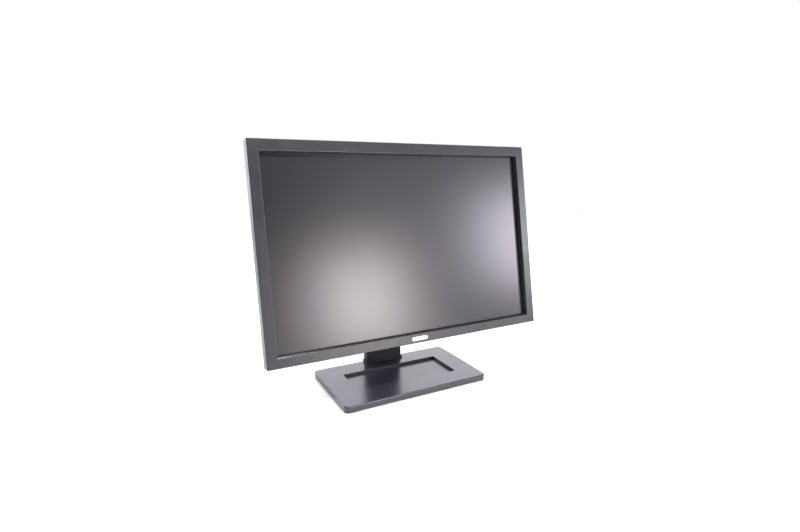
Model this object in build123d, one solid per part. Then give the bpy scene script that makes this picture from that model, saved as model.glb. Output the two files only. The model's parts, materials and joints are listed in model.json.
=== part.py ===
from build123d import *
import math
import os

# A 22-inch wide-screen desk monitor on a tilting stand. Millimetres, +Z up.
# The screen faces -Y and +X is on the viewer's right. The origin is on the desk,
# under the middle of the base. The head is modelled upright in a frame of its own, with its
# origin at the middle of the bezel's front face and +Y going back into the head, and is
# then leant back and lifted into place. The stand is modelled where it stands.

# ---------------------------------------------------------------- head, outside
HEAD_WIDTH = 511.0
HEAD_HEIGHT = 334.5
HEAD_CORNER = 1.2
SCREEN_LEAN = 11.0              # degrees that the screen leans back at rest
SCREEN_Y = -41.0                # middle of the bezel's front face
SCREEN_Z = 259.0
BEZEL_DEPTH = 16.0
BEZEL_WALL = 2.3
BEZEL_EDGE = 0.8                # rounding of the bezel's outer front edge
SIDE_BORDER = 16.3
TOP_BORDER = 17.4
BOTTOM_BORDER = 15.4
BEVEL_WIDTH = 1.8               # the opening's slope, seen from the front
BEVEL_DEPTH = 4.0
RETURN_DEPTH = 8.0              # the opening's wall ends here, in front of the panel
SEAM = 0.2
INNER_CORNER = 1.5              # the casing's corners, inside
OPENING_CORNER = (0.4, 0.2)     # in front and at the end of the slope
RETURN_WALL = 2.0
COVER_WALL = 2.4
COVER_STRAIGHT = 20.0           # the head's sides are straight to here, then taper
COVER_BACK = 36.0               # the flat outer part of the rear cover
BULGE_BACK = 58.0               # the raised middle of the rear cover
BULGE_WIDTH = 330.0
BULGE_HEIGHT = 190.0
BULGE_Z = -10.0
BULGE_CORNER = 14.0
BULGE_GROWTH = (16.0, 10.0)     # its foot is this much wider and higher than its flat
BULGE_EDGE = 3.0
COVER_TAPER = 31.0              # the flat back is this much narrower and lower than the rim
COVER_BACK_CORNER = 10.0
TONGUE_WALL = 1.4               # the cover's tongue that locates the bezel
TONGUE_REACH = 3.0
TONGUE_ROOT = 1.5
CUT = 5.0                       # how far a cutting tool reaches past a wall
VENT_SLOT = (3.0, 13.0)
VENT_ROWS = (131.0, 112.0, -127.0)
VENT_STEP = 7.5
VENTS_EACH_SIDE = 22
SLOT_END = 1.4                  # corner radius of the vents and the lock slot
HINGE_OPENING = (62.0, 44.0)
LOCK_SLOT = (7.0, 3.0)
LOCK_PLACE = (205.0, -120.0)
COVER_SCREW_PLACE = (222.0, 125.0)
COVER_SCREW_END = 25.2
BADGE_SIZE = (30.0, 6.0)
BADGE_THICK = 0.6
BADGE_CORNER = 2.9
BADGE_PIN = 0.9
BADGE_PIN_X = 9.0

# ---------------------------------------------------------------- display panel
PANEL_WIDTH = 493.7
PANEL_HEIGHT = 320.1
PANEL_FRONT = 8.2
PANEL_BACK = 22.8
VIEW_WIDTH = 473.8              # active picture area
VIEW_HEIGHT = 296.1
GLASS_MARGIN = 11.0             # the glass is this much larger than the picture area
GLASS_FRONT = 9.0
GLASS_BACK = 10.5
FILM_FRONT = 12.1
FILM_STEP = 0.3
FILM_THICK = 0.22
GUIDE_FRONT = 13.1
GUIDE_BACK = 21.1
REFLECTOR = (21.2, 21.5)
LAMP_DEPTHS = (15.1, 19.1)
LAMP_RADIUS = 1.2
LAMP_OFFSET = 2.6               # from the light guide's edge
TRAY_FRONT = 22.0
TRAY_RIBS = (-120.0, -60.0, 60.0, 110.0)
DRIVER_BOARD_Z = 137.0
DRIVER_BOARD = (390.0, 20.0)
DRIVER_BOARD_FACES = (23.2, 24.4)
DRIVER_CHIPS_X = (-150, -30, 50, 140)
PANEL_Z = (BOTTOM_BORDER - TOP_BORDER) / 2
SHEET_STEEL = 0.6

# ---------------------------------------------------------------- tilt hinge
PIVOT_DEPTH = 84.0              # behind the bezel's front face
PIVOT_RISE = -7.0               # from the middle of the bezel's front face
SHAFT_RADIUS = 4.0
SHAFT_HALF = 32.5
RUNNING_GAP = 0.05
FACE_GAP = 0.1
NECK_EAR = (18.0, 21.0)         # from and to, along X
HEAD_EAR = (21.9, 24.4)
EAR_RADIUS = 10.0
HOOD_HALF = 42.0
HOOD_RADIUS = 26.0
HOOD_WALL = 2.8
VESA_HALF = 50.0                # the 100 mm square of mounting holes
VESA_HOLE = 2.0                 # M4
VESA_THROUGH = 2.6              # the cover's holes in front of the pillars
CHASSIS_FRONT = 25.0
CHASSIS_BACK = 26.0
ARM_HEIGHTS = (-70.0, 60.0)     # the chassis arms that reach the side brackets
ARM_END = 225.0
SOCKET_HALF = 45.5              # the channel that the stand's plate slides into
SOCKET_LOW = -36.0
SOCKET_HIGH = 24.8
SOCKET_FRONT = 49.0
SHEET_HEAVY = 1.5

# ---------------------------------------------------------------- neck and base
NECK_WIDTH = 73.0
NECK_DEPTH = 15.5
NECK_Y = 70.75                  # middle of the neck's upright part
NECK_LEAN = 11.0                # degrees that its upper part leans forward
NECK_BEND = 134.5               # radius of the bend at the neck's front face
NECK_TOP = 14.0                 # the covers end this far short of the pivot
NECK_WALL = 2.0
RISER_HALF = 1.25               # half the thickness of the neck's steel
RISER_SHORT = 18.0              # the steel ends this far short of the pivot
BASE_WIDTH = 277.0
BASE_DEPTH = 158.0
BASE_HEIGHT = 12.0
BASE_CORNER = 8.0
BASE_EDGE = 1.6
BASE_WALL = 2.5
FOOT_HEIGHT = 1.5
PLATE_THICK = 2.5
POCKET_WIDTH = 193.2
POCKET_DEPTH = 77.2
POCKET_Y = -1.2
POCKET_DROP = 5.0
POCKET_WALL = 2.2

PIVOT_Y = (SCREEN_Y + PIVOT_DEPTH * math.cos(math.radians(SCREEN_LEAN))
           + PIVOT_RISE * math.sin(math.radians(SCREEN_LEAN)))
PIVOT_Z = (SCREEN_Z - PIVOT_DEPTH * math.sin(math.radians(SCREEN_LEAN))
           + PIVOT_RISE * math.cos(math.radians(SCREEN_LEAN)))
OPENING_WIDTH = HEAD_WIDTH - 2 * SIDE_BORDER
OPENING_HEIGHT = HEAD_HEIGHT - TOP_BORDER - BOTTOM_BORDER

# ---------------------------------------------------------------- control keys
KEY_Y = 8.5                     # middle of the keys, behind the bezel's front face
KEY_STEP = 17.0
MENU_KEYS = 4
MENU_KEY_X = 160.0              # the first menu key
POWER_KEY_X = 232.0
MENU_KEY_SIZE = (10.0, 4.4)
POWER_KEY_SIZE = (12.0, 4.4)
KEY_CLEARANCE = 0.3
LIGHT_X = 244.0
LIGHT_RADIUS = 1.1

# ---------------------------------------------------------------- connectors
INLET_X = 92.0
DIGITAL_X = -62.0
ANALOG_X = -112.0
CONNECTOR_Y = 45.0
CONNECTOR_Z = -103.0            # the connectors' mounting plates
BOARD_FRONT = 31.0
BOARD_THICK = 1.6
RIBBON_X = -84.0
RIBBON_WIDTH = 22.0
RIBBON_THICK = 0.9
BOARD_WIDTH = 94.0
BOARD_X = 109.0                 # the power board's middle; the video board's is its opposite
BOARD_TOP = BOARD_FRONT + BOARD_THICK
INLET_HOLE = (27.8, 20.2)
DIGITAL_HOLE = (37.0, 13.2)
ANALOG_HOLE = (31.4, 13.2)
CONNECTOR_CORNER = 1.0
SHELL_REACH = 5.8               # how far a connector's shell stands out of its plate
PLATE_SHEET = 0.8
BODY_HEIGHT = 9.0
CONNECTOR_DEPTH = 12.4

# ---------------------------------------------------------------- release latch
LATCH_Z = -47.0
LATCH_RADIUS = 4.5
LATCH_GAP = 0.3


# ---------------------------------------------------------------- helpers
def slab(width, height, front, back, x=0.0, z=0.0, corner=0.0):
    """An upright plate from front to back along Y, its corners rounded in the XZ plane."""
    outline = RectangleRounded(width, height, corner) if corner else Rectangle(width, height)
    plane = Plane(origin=(x, front, z), x_dir=(1, 0, 0), z_dir=(0, 1, 0))
    return extrude(plane * outline, back - front)


def ring(outer, inner, front, back, z=0.0, corners=(0.0, 0.0)):
    """An upright rectangular frame: outer and inner are (width, height)."""
    body = slab(outer[0], outer[1], front, back, z=z, corner=corners[0])
    return body - slab(inner[0], inner[1], front - 1, back + 1, z=z, corner=corners[1])


def tapered(near, far):
    """A block between two upright rounded rectangles (width, height, depth, z, corner)."""
    faces = []
    for width, height, depth, z, corner in (near, far):
        plane = Plane(origin=(0, depth, z), x_dir=(1, 0, 0), z_dir=(0, 1, 0))
        faces.append(plane * RectangleRounded(width, height, corner))
    return loft(faces)


def flat(width, depth, bottom, top, x=0.0, y=0.0, corner=0.0):
    """A level plate from bottom to top along Z, its corners rounded in the XY plane."""
    outline = RectangleRounded(width, depth, corner) if corner else Rectangle(width, depth)
    return extrude(Pos(x, y, bottom) * outline, top - bottom)


def box(x0, x1, y0, y1, z0, z1):
    """A box given by its lowest and highest corners."""
    return Pos((x0 + x1) / 2, (y0 + y1) / 2, (z0 + z1) / 2) * Box(x1 - x0, y1 - y0, z1 - z0)


def rod_y(radius, front, back, x=0.0, z=0.0):
    """A round bar along Y."""
    middle = Pos(x, (front + back) / 2, z)
    return middle * Rot(90, 0, 0) * Cylinder(radius, back - front)


def rod_z(radius, bottom, top, x=0.0, y=0.0):
    """A round bar along Z."""
    return Pos(x, y, (bottom + top) / 2) * Cylinder(radius, top - bottom)


def rod_x(radius, left, right, y=0.0, z=0.0):
    """A round bar along X."""
    return Pos((left + right) / 2, y, z) * Rot(0, 90, 0) * Cylinder(radius, right - left)


def screw(shank, length, head, head_height):
    """A pan-head screw, tip down, its head's underside at the origin, with a cross recess."""
    body = rod_z(shank, -length, 0) + rod_z(head, 0, head_height)
    slot = Box(head * 1.1, head * 0.28, head_height)
    cross = Pos(0, 0, head_height) * (slot + Rot(0, 0, 90) * slot)
    return body - cross


def in_head(shape):
    """Leans a piece of the head back and lifts it to its place above the desk."""
    return Location((0, SCREEN_Y, SCREEN_Z), (-SCREEN_LEAN, 0, 0)) * shape


def mirrored(shape):
    """A piece and its copy on the other side of the middle."""
    return [shape, mirror(shape, Plane.YZ)]


def group(shapes):
    """Separate solids in one node."""
    return Compound(children=[solid for shape in shapes for solid in shape.solids()])


# ---------------------------------------------------------------- head: casing
def front_bezel():
    """The picture-frame front of the casing, with key holes in its underside."""
    body = slab(HEAD_WIDTH, HEAD_HEIGHT, 0, BEZEL_DEPTH, corner=HEAD_CORNER)
    body = fillet(body.edges().group_by(Axis.Y)[0], BEZEL_EDGE)
    cavity = slab(HEAD_WIDTH - 2 * BEZEL_WALL, HEAD_HEIGHT - 2 * BEZEL_WALL,
                  BEZEL_WALL, BEZEL_DEPTH + 1, corner=INNER_CORNER)
    return_wall = slab(OPENING_WIDTH + 2 * RETURN_WALL, OPENING_HEIGHT + 2 * RETURN_WALL,
                       1, RETURN_DEPTH, z=PANEL_Z)
    body = body - (cavity - return_wall)
    throat = (OPENING_WIDTH - 2 * BEVEL_WIDTH, OPENING_HEIGHT - 2 * BEVEL_WIDTH)
    body = body - slab(throat[0], throat[1], -1, RETURN_DEPTH + 1, z=PANEL_Z)
    bevel = tapered((OPENING_WIDTH, OPENING_HEIGHT, 0, PANEL_Z, OPENING_CORNER[0]),
                    (throat[0], throat[1], BEVEL_DEPTH, PANEL_Z, OPENING_CORNER[1]))
    body = body - bevel
    for x, size in key_places():
        hole = (size[0] + 2 * KEY_CLEARANCE, size[1] + 2 * KEY_CLEARANCE)
        body = body - flat(hole[0], hole[1], -HEAD_HEIGHT / 2 - 1, -HEAD_HEIGHT / 2 + BEZEL_WALL + 1,
                           x=x, y=KEY_Y, corner=1.2)
    light = rod_y(LIGHT_RADIUS + 0.1, -1, BEZEL_WALL + 1, x=LIGHT_X, z=light_height())
    body = body - light
    for x in (-BADGE_PIN_X, BADGE_PIN_X):
        body = body - rod_y(BADGE_PIN + 0.1, -1, BEZEL_WALL + 1, x=x, z=badge_height())
    return body


def badge_height():
    """Middle of the bezel's bottom border."""
    return -HEAD_HEIGHT / 2 + BOTTOM_BORDER / 2


def light_height():
    """The power light sits low in the bottom border, near its right end."""
    return -HEAD_HEIGHT / 2 + 5.2


def badge():
    """A plain raised strip in the middle of the bottom border, on two pins."""
    strip = slab(BADGE_SIZE[0], BADGE_SIZE[1], -BADGE_THICK, 0, z=badge_height(), corner=BADGE_CORNER)
    for x in (-BADGE_PIN_X, BADGE_PIN_X):
        strip = strip + rod_y(BADGE_PIN, 0, BEZEL_WALL, x=x, z=badge_height())
    return strip


def rear_cover():
    """The back shell: straight sides, a taper, and a raised middle over the electronics."""
    rim = slab(HEAD_WIDTH, HEAD_HEIGHT, BEZEL_DEPTH + SEAM, COVER_STRAIGHT, corner=HEAD_CORNER)
    taper = tapered((HEAD_WIDTH, HEAD_HEIGHT, COVER_STRAIGHT, 0, HEAD_CORNER),
                    (HEAD_WIDTH - COVER_TAPER, HEAD_HEIGHT - COVER_TAPER, COVER_BACK, 0,
                     COVER_BACK_CORNER))
    foot_width = BULGE_WIDTH + BULGE_GROWTH[0]
    foot_height = BULGE_HEIGHT + BULGE_GROWTH[1]
    bulge = tapered((foot_width, foot_height, COVER_BACK - 3, BULGE_Z + 3, BULGE_CORNER),
                    (BULGE_WIDTH, BULGE_HEIGHT, BULGE_BACK, BULGE_Z, BULGE_CORNER))
    bulge = fillet(bulge.edges().group_by(Axis.Y)[-1], BULGE_EDGE)
    body = rim + taper + bulge
    thin = 2 * COVER_WALL
    hollow = slab(HEAD_WIDTH - thin, HEAD_HEIGHT - thin, BEZEL_DEPTH, COVER_STRAIGHT,
                  corner=INNER_CORNER)
    hollow = hollow + tapered((HEAD_WIDTH - thin, HEAD_HEIGHT - thin, COVER_STRAIGHT, 0, INNER_CORNER),
                              (HEAD_WIDTH - COVER_TAPER - thin, HEAD_HEIGHT - COVER_TAPER - thin,
                               COVER_BACK - COVER_WALL, 0, COVER_BACK_CORNER - COVER_WALL))
    hollow = hollow + tapered((foot_width - thin, foot_height - thin,
                               COVER_BACK - 4, BULGE_Z + 3, BULGE_CORNER - COVER_WALL),
                              (BULGE_WIDTH - thin, BULGE_HEIGHT - thin,
                               BULGE_BACK - COVER_WALL, BULGE_Z, BULGE_CORNER - COVER_WALL))
    body = body - hollow
    inside = 2 * (BEZEL_WALL + SEAM)
    through = (HEAD_WIDTH - inside - 2 * TONGUE_WALL, HEAD_HEIGHT - inside - 2 * TONGUE_WALL)
    seam_back = BEZEL_DEPTH + SEAM
    tongue = ring((HEAD_WIDTH - inside, HEAD_HEIGHT - inside), through,
                  BEZEL_DEPTH - TONGUE_REACH, seam_back, corners=(1.4, 1.0))
    tongue = tongue + ring((HEAD_WIDTH - 4, HEAD_HEIGHT - 4), through,
                           seam_back, seam_back + TONGUE_ROOT, corners=(1.4, 1.0))
    body = body + tongue
    return body - cover_openings()


def cover_openings():
    """Everything that is cut through the rear cover, as one tool."""
    tools = []
    flat_front, flat_back = COVER_BACK - CUT, COVER_BACK + CUT
    raised_front, raised_back = BULGE_BACK - CUT, BULGE_BACK + CUT
    slot = slab(VENT_SLOT[0], VENT_SLOT[1], flat_front, flat_back, corner=SLOT_END)
    for row in VENT_ROWS:
        for step in range(-VENTS_EACH_SIDE, VENTS_EACH_SIDE + 1):
            tools.append(Pos(step * VENT_STEP, 0, row) * slot)
    tools.append(slab(HINGE_OPENING[0], HINGE_OPENING[1], raised_front, raised_back,
                      z=PIVOT_RISE, corner=3))
    for x in (-VESA_HALF, VESA_HALF):
        for z in (-VESA_HALF, VESA_HALF):
            tools.append(rod_y(VESA_THROUGH, raised_front, raised_back, x=x, z=PIVOT_RISE + z))
    tools.append(rod_y(LATCH_RADIUS + LATCH_GAP, raised_front, raised_back, z=LATCH_Z))
    low = BULGE_Z - BULGE_HEIGHT / 2
    for x, size in ((INLET_X, INLET_HOLE), (DIGITAL_X, DIGITAL_HOLE), (ANALOG_X, ANALOG_HOLE)):
        tools.append(flat(size[0], size[1], low - CUT - 1, low + CUT + 1,
                          x=x, y=CONNECTOR_Y, corner=CONNECTOR_CORNER))
    tools.append(slab(LOCK_SLOT[0], LOCK_SLOT[1], flat_front, flat_back,
                      x=LOCK_PLACE[0], z=LOCK_PLACE[1], corner=SLOT_END))
    for x, z in cover_screw_places():
        tools.append(rod_y(1.7, flat_front, flat_back, x=x, z=z))
    return group(tools)


def cover_screw_places():
    """Four screws through the back, clear of the raised middle."""
    x_far, z_far = COVER_SCREW_PLACE
    return [(x, z) for x in (-x_far, x_far) for z in (-z_far, z_far)]


def cover_screws():
    """Screws through the rear cover into the panel's side brackets."""
    parts = []
    for x, z in cover_screw_places():
        bolt = Rot(-90, 0, 0) * screw(1.5, COVER_BACK - COVER_SCREW_END, 2.9, 1.6)
        parts.append(Pos(x, COVER_BACK, z) * bolt)
    return group(parts)


def hinge_hood():
    """The plastic hood behind the cover, over the hinge. It is open below for the neck."""
    y, z = PIVOT_DEPTH, PIVOT_RISE
    outer = rod_x(HOOD_RADIUS, -HOOD_HALF, HOOD_HALF, y, z)
    outer = outer + box(-HOOD_HALF, HOOD_HALF, BULGE_BACK, y, z - HOOD_RADIUS, z + HOOD_RADIUS)
    side = HOOD_HALF - HOOD_WALL
    inner_radius = HOOD_RADIUS - HOOD_WALL
    inner = rod_x(inner_radius, -side, side, y, z)
    inner = inner + box(-side, side, BULGE_BACK - 1, y, z - HOOD_RADIUS - 1, z + inner_radius)
    hood = outer - inner
    return hood - box(-60, 60, BULGE_BACK - 1, y + 40, z - 40, z - 12)


# ---------------------------------------------------------------- head: display panel
def panel_front_frame():
    """Folded sheet-steel frame that holds the panel together from the front."""
    flange = ring((PANEL_WIDTH, PANEL_HEIGHT), (VIEW_WIDTH + 4, VIEW_HEIGHT + 4),
                  PANEL_FRONT, PANEL_FRONT + SHEET_STEEL, z=PANEL_Z)
    skirt = ring((PANEL_WIDTH, PANEL_HEIGHT),
                 (PANEL_WIDTH - 2 * SHEET_STEEL, PANEL_HEIGHT - 2 * SHEET_STEEL),
                 PANEL_FRONT, PANEL_BACK - 4, z=PANEL_Z)
    return flange + skirt


def lcd_glass():
    """The liquid-crystal cell: two sheets of glass with a polariser on each face."""
    return slab(VIEW_WIDTH + GLASS_MARGIN, VIEW_HEIGHT + GLASS_MARGIN, GLASS_FRONT, GLASS_BACK, z=PANEL_Z)


def panel_mid_frame():
    """Moulded frame between the glass and the backlight."""
    outer = (PANEL_WIDTH - 1.4, PANEL_HEIGHT - 1.4)
    locating = ring(outer, (VIEW_WIDTH + 12, VIEW_HEIGHT + 12), 8.9, 10.6, z=PANEL_Z)
    shelf = ring(outer, (VIEW_WIDTH + 2, VIEW_HEIGHT + 2), 10.6, 12.0, z=PANEL_Z)
    wall = ring(outer, (outer[0] - 3, outer[1] - 3), 12.0, 22.0, z=PANEL_Z)
    return locating + shelf + wall


def optical_films():
    """Two diffusers and a prism film, lying on the light guide."""
    sheets = []
    for n in range(3):
        front = FILM_FRONT + FILM_STEP * n
        sheets.append(slab(VIEW_WIDTH + 8, VIEW_HEIGHT + 2, front, front + FILM_THICK, z=PANEL_Z))
    return group(sheets)


def light_guide():
    """Clear acrylic plate that spreads the lamps' light over the screen."""
    return slab(VIEW_WIDTH + 4, VIEW_HEIGHT + 2, GUIDE_FRONT, GUIDE_BACK, z=PANEL_Z)


def reflector_sheet():
    """White sheet behind the light guide."""
    return slab(VIEW_WIDTH + 4, VIEW_HEIGHT + 2, REFLECTOR[0], REFLECTOR[1], z=PANEL_Z)


def lamp_rows():
    """The lamps' heights: one pair along the top edge and one along the bottom edge."""
    edge = (VIEW_HEIGHT + 2) / 2 + LAMP_OFFSET
    return [PANEL_Z + edge, PANEL_Z - edge]


def backlight_lamps():
    """Four thin fluorescent tubes, two along each long edge of the light guide."""
    half = VIEW_WIDTH / 2 + 1
    return group([rod_x(LAMP_RADIUS, -half, half, y, z) for z in lamp_rows() for y in LAMP_DEPTHS])


def lamp_end_caps():
    """Rubber blocks that hold the ends of each pair of lamps."""
    blocks = []
    near = VIEW_WIDTH / 2 - 3
    for z in lamp_rows():
        block = box(near, near + 8, 13.2, 21.0, z - 2.0, z + 2.0)
        for y in LAMP_DEPTHS:
            block = block - rod_x(LAMP_RADIUS + RUNNING_GAP, near - 1, near + 5, y, z)
        blocks += mirrored(block)
    return group(blocks)


def lamp_reflectors():
    """Folded channels around each pair of lamps, open towards the light guide."""
    half = VIEW_WIDTH / 2 - 4
    channels = []
    for side, z in zip((1, -1), lamp_rows()):
        back = sorted((z + side * 2.2, z + side * 2.6))
        web = box(-half, half, 12.5, 21.9, back[0], back[1])
        reach = sorted((z - side * 2.1, z + side * 2.2))
        front_lip = box(-half, half, 13.1, 13.4, reach[0], reach[1])
        back_lip = box(-half, half, 21.6, 21.9, reach[0], reach[1])
        channels.append(web + front_lip + back_lip - box(-half, half, 12, 13.1, back[0], back[1]))
    return group(channels)


def panel_rear_tray():
    """Pressed steel back of the panel, with stiffening ribs."""
    tray = slab(PANEL_WIDTH - 1.4, PANEL_HEIGHT - 1.4, TRAY_FRONT, PANEL_BACK, z=PANEL_Z)
    for z in TRAY_RIBS:
        tray = tray + slab(300, 8, PANEL_BACK, PANEL_BACK + 1.0, z=PANEL_Z + z, corner=3.9)
    return tray


def panel_driver_board():
    """Narrow circuit board on the back of the panel, with its chips and socket."""
    front, back = DRIVER_BOARD_FACES
    board = slab(DRIVER_BOARD[0], DRIVER_BOARD[1], front, back, z=DRIVER_BOARD_Z)
    for x in DRIVER_CHIPS_X:
        board = board + slab(18, 9, back, back + 1.6, x=x, z=DRIVER_BOARD_Z)
    return board + slab(RIBBON_WIDTH + 6, 7, back, back + 3, x=RIBBON_X, z=DRIVER_BOARD_Z)


def panel_side_brackets():
    """Angle brackets down the panel's short sides, which carry the chassis and the cover."""
    x = PANEL_WIDTH / 2 + 0.1
    cheek = box(x, x + 1, 10, 24, -140, 140)
    flange = box(200, x + 1, 23, 24, -140, 140)
    bracket = cheek + flange
    boss_x, boss_z = COVER_SCREW_PLACE
    for z in (-boss_z, boss_z):
        bracket = bracket + rod_y(3.4, 24, 31, x=boss_x, z=z)
        bracket = bracket - rod_y(1.55, 22, 32, x=boss_x, z=z)
    return group(mirrored(bracket))


# ---------------------------------------------------------------- head: chassis and latch
def main_chassis():
    """Steel plate that carries the boards and the stand, fixed across the side brackets."""
    plate = slab(310, 190, CHASSIS_FRONT, CHASSIS_BACK, z=BULGE_Z)
    for z in ARM_HEIGHTS:
        plate = plate + box(-240, 240, CHASSIS_FRONT, CHASSIS_BACK, z - 18, z + 18)
    for x in (-125, -65, 65, 125):
        plate = plate - slab(24, 60, CHASSIS_FRONT - 1, CHASSIS_BACK + 1, x=x, z=-8, corner=6)
    for x, z in chassis_screw_places():
        plate = plate + slab(16, 20, CHASSIS_FRONT - 1, CHASSIS_FRONT, x=x, z=z)
    return plate - chassis_screw_holes()


def chassis_screw_places():
    """Where the chassis arms screw to the side brackets."""
    return [(x, z) for x in (-ARM_END, ARM_END) for z in ARM_HEIGHTS]


def chassis_screw_holes():
    """Clearance holes for the chassis screws."""
    return group([rod_y(1.6, 23, 27, x=x, z=z) for x, z in chassis_screw_places()])


def chassis_screws():
    """Short screws: four hold the chassis to the side brackets, eight hold the boards down."""
    bolt = Rot(-90, 0, 0) * screw(1.5, 1.9, 2.8, 1.6)
    head = rod_y(2.7, BOARD_TOP, BOARD_TOP + 1.6)
    head = head - box(-2.9, 2.9, BOARD_TOP + 0.9, BOARD_TOP + 2, -0.4, 0.4)
    places = power_board_places() + video_board_places()
    return group([Pos(x, CHASSIS_BACK, z) * bolt for x, z in chassis_screw_places()]
                 + [Pos(x, 0, z) * head for x, z in places])


def stand_socket():
    """Steel channel on the chassis that the stand's plate slides into, with a lip on top."""
    low, high, half = SOCKET_LOW, SOCKET_HIGH, SOCKET_HALF
    back = SOCKET_FRONT + SHEET_HEAVY
    socket = box(-half, half, SOCKET_FRONT, back, low, high)
    for part in mirrored(box(half - SHEET_HEAVY, half, CHASSIS_BACK, SOCKET_FRONT, low, high)):
        socket = socket + part
    for part in mirrored(box(half, half + 11.5, CHASSIS_BACK, CHASSIS_BACK + SHEET_HEAVY, low, high)):
        socket = socket + part
    lip_back = back + 4.4
    lip = box(-30, 30, back, lip_back, high - SHEET_HEAVY, high)
    return socket + lip + box(-30, 30, lip_back - SHEET_HEAVY, lip_back, 19, high)


def vesa_standoffs():
    """Four threaded pillars behind the mounting holes in the rear cover."""
    pillars = []
    for x in (-VESA_HALF, VESA_HALF):
        for z in (-VESA_HALF, VESA_HALF):
            pillar = rod_y(4.4, 26, BULGE_BACK - COVER_WALL, x=x, z=PIVOT_RISE + z)
            pillars.append(pillar - rod_y(VESA_HOLE, 43, BULGE_BACK, x=x, z=PIVOT_RISE + z))
    return group(pillars)


def latch_guide():
    """Plastic tube on the chassis that the release latch slides in."""
    tube = rod_y(6.5, 26, 39.5, z=LATCH_Z) + rod_y(9.5, 26, 28, z=LATCH_Z)
    return tube - rod_y(3.9 + LATCH_GAP, 25, 41, z=LATCH_Z)


def release_latch():
    """Push button in the back whose tongue stops the stand's plate from sliding out."""
    stem = rod_y(3.9, 34, 44, z=LATCH_Z)
    bar = box(-8, 8, 44, 47, LATCH_Z - 5, -37.3)
    tongue = box(-8, 8, 47, 53.1, -42, -37.3)
    button = rod_y(LATCH_RADIUS, 47, BULGE_BACK + 0.6, z=LATCH_Z)
    return stem + bar + tongue + button


def latch_spring():
    """Coil spring that pushes the release latch back out."""
    coil = Helix(pitch=1.4, height=6.6, radius=3.2, center=(0, 0, 0), direction=(0, 0, 1))
    start = Plane(origin=coil @ 0, z_dir=coil % 0)
    wire = sweep(start * Circle(0.3), path=coil, is_frenet=True)
    return Pos(0, 26.7, LATCH_Z) * Rot(-90, 0, 0) * wire


# ---------------------------------------------------------------- head: electronics
def board_pillars(places):
    """Metal spacers between the chassis and a circuit board."""
    return [rod_y(3, CHASSIS_BACK, BOARD_FRONT, x=x, z=z) for x, z in places]


def power_board_places():
    return [(x, z) for x in (66, 152) for z in (-92, 62)]


def video_board_places():
    return [(x, z) for x in (-152, -66) for z in (-92, 22)]


def board_spacers():
    """Spacers under both circuit boards."""
    return group(board_pillars(power_board_places() + video_board_places()))


def power_board():
    """Circuit board of the mains supply and the lamp drive."""
    return slab(BOARD_WIDTH, 166, BOARD_FRONT, BOARD_TOP, x=BOARD_X, z=-15)


def video_board():
    """Circuit board that takes the picture signal and drives the panel."""
    return slab(BOARD_WIDTH, 126, BOARD_FRONT, BOARD_TOP, x=-BOARD_X, z=-35)


def transformers():
    """The supply's main transformer and the two that drive the lamps."""
    top = BOARD_TOP
    parts = []
    for x, z, size, height in ((112, -22, 30, 19), (90, 38, 19, 13), (128, 38, 19, 13)):
        core = slab(size, size * 0.8, top + 2, top + height, x=x, z=z)
        bobbin = slab(size * 0.66, size * 1.1, top, top + height - 2, x=x, z=z, corner=2)
        parts.append(core + bobbin)
    return group(parts)


def capacitors():
    """Electrolytic cans standing on the power board."""
    top = BOARD_TOP
    parts = []
    for x, z, radius, height in ((140, -50, 9, 20), (80, -8, 5, 16), (80, 6, 5, 16),
                                 (140, -14, 5, 16), (140, 0, 5, 16), (141, 14, 4, 12)):
        can = rod_y(radius, top, top + height, x=x, z=z)
        can = fillet(can.edges().group_by(Axis.Y)[-1], 0.8)
        parts.append(can)
    return group(parts)


def heat_sink():
    """Finned aluminium plate for the supply's power transistors."""
    top = BOARD_TOP
    sink = box(72, 75, top, top + 18, -66, -18)
    for n in range(6):
        z = -64 + 8.5 * n
        sink = sink + box(75, 83, top, top + 18, z, z + 1.6)
    return sink


def video_chips():
    """The scaler chip, its memory, a regulator and the ribbon's socket on the video board."""
    top = BOARD_TOP
    parts = [slab(RIBBON_WIDTH + 4, 6, top, top + 1.5, x=RIBBON_X, z=21.5)]
    for x, z, width, height in ((-108, -38, 24, 24), (-82, -20, 12, 8), (-136, -14, 10, 8)):
        parts.append(slab(width, height, top, top + 1.8, x=x, z=z))
    return group(parts)


def board_shield():
    """Perforated steel cover over the video board."""
    x0, x1, z0, z1 = -146, -72, -64, 16
    low, high = BOARD_TOP, BOARD_TOP + 9
    shield = box(x0, x1, low, high, z0, z1)
    shield = shield - box(x0 + 0.8, x1 - 0.8, low - 1, high - 0.8, z0 + 0.8, z1 - 0.8)
    holes = []
    for column in range(8):
        for row in range(6):
            holes.append(rod_y(1.8, high - 3, high + 1, x=x0 + 9 + 8 * column, z=z0 + 16 + 9 * row))
    return shield - group(holes)


def panel_ribbon():
    """Flat signal cable from the video board up to the panel's driver board."""
    front = [(27.5, 139.0), (28.0, 130.0), (29.4, 96.0), (34.2, 60.0), (34.2, 18.0)]
    back = [(y + RIBBON_THICK, z) for y, z in reversed(front)]
    outline = make_face(Polyline(*(front + back), close=True))
    ribbon = extrude(Plane.YZ.offset(RIBBON_X - RIBBON_WIDTH / 2) * outline, RIBBON_WIDTH)
    return ribbon


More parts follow.
